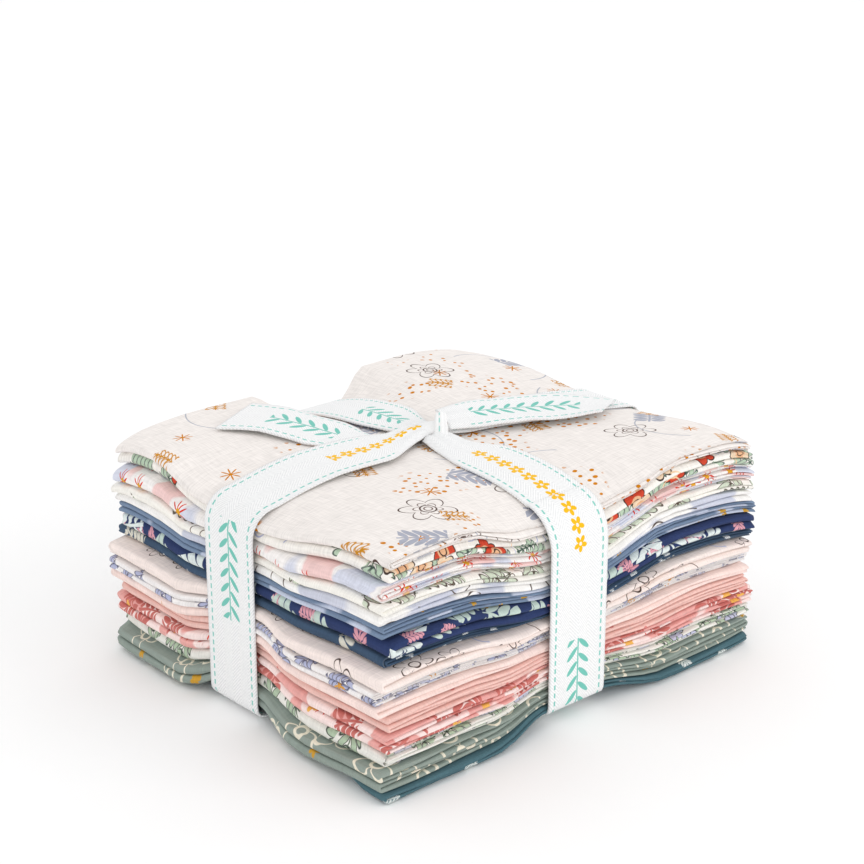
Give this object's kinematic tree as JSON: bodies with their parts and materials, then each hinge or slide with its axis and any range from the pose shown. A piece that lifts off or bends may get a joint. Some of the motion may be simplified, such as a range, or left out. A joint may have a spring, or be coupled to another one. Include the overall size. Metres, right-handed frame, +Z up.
{
  "type": "fat quarter bundle",
  "caption": "Stack of folded quilting cotton fat quarters in creams, blues, pinks and greens, tied both ways with a flat white twill tape and a small knot on top.",
  "frame": {"origin": "centre of the bundle's footprint, on the surface it rests on", "axes": "+X along the longer side, from the front corner towards the right corner of the picture; +Y along the shorter side, away from the camera; +Z up through the knot"},
  "size_m": [0.1742, 0.1484, 0.0862],
  "materials": {
    "cotton_cream": "matte woven cotton, cream ground with a small amber print",
    "cotton_white": "matte woven cotton, white ground with a small floral print",
    "cotton_denim": "matte woven cotton, slate blue",
    "cotton_navy": "matte woven cotton, navy with pale leaves",
    "cotton_dark_denim": "matte woven cotton, dark slate blue",
    "cotton_blush": "matte woven cotton, blush",
    "cotton_pink": "matte woven cotton, pink",
    "cotton_coral": "matte woven cotton, coral floral",
    "cotton_pale_green": "matte woven cotton, cream with green sprigs",
    "cotton_sage": "matte woven cotton, sage green",
    "cotton_teal": "matte woven cotton, dark teal",
    "tape_twill": "white herringbone twill tape with dashed teal stitching"
  },
  "bodies": {
    "root": {"fat_quarter_01": "cotton_cream", "fat_quarter_02": "cotton_white", "fat_quarter_03": "cotton_white", "fat_quarter_04": "cotton_cream", "fat_quarter_05": "cotton_cream", "fat_quarter_06": "cotton_denim", "fat_quarter_07": "cotton_navy", "fat_quarter_08": "cotton_dark_denim", "fat_quarter_09": "cotton_blush", "fat_quarter_10": "cotton_white", "fat_quarter_11": "cotton_blush", "fat_quarter_12": "cotton_pink", "fat_quarter_13": "cotton_coral", "fat_quarter_14": "cotton_pale_green", "fat_quarter_15": "cotton_sage", "fat_quarter_16": "cotton_teal", "tape_long_wrap": "tape_twill", "tape_cross_wrap": "tape_twill", "tape_knot": "tape_twill", "tape_tail_left": "tape_twill", "tape_tail_right": "tape_twill"}
  },
  "joints": []
}
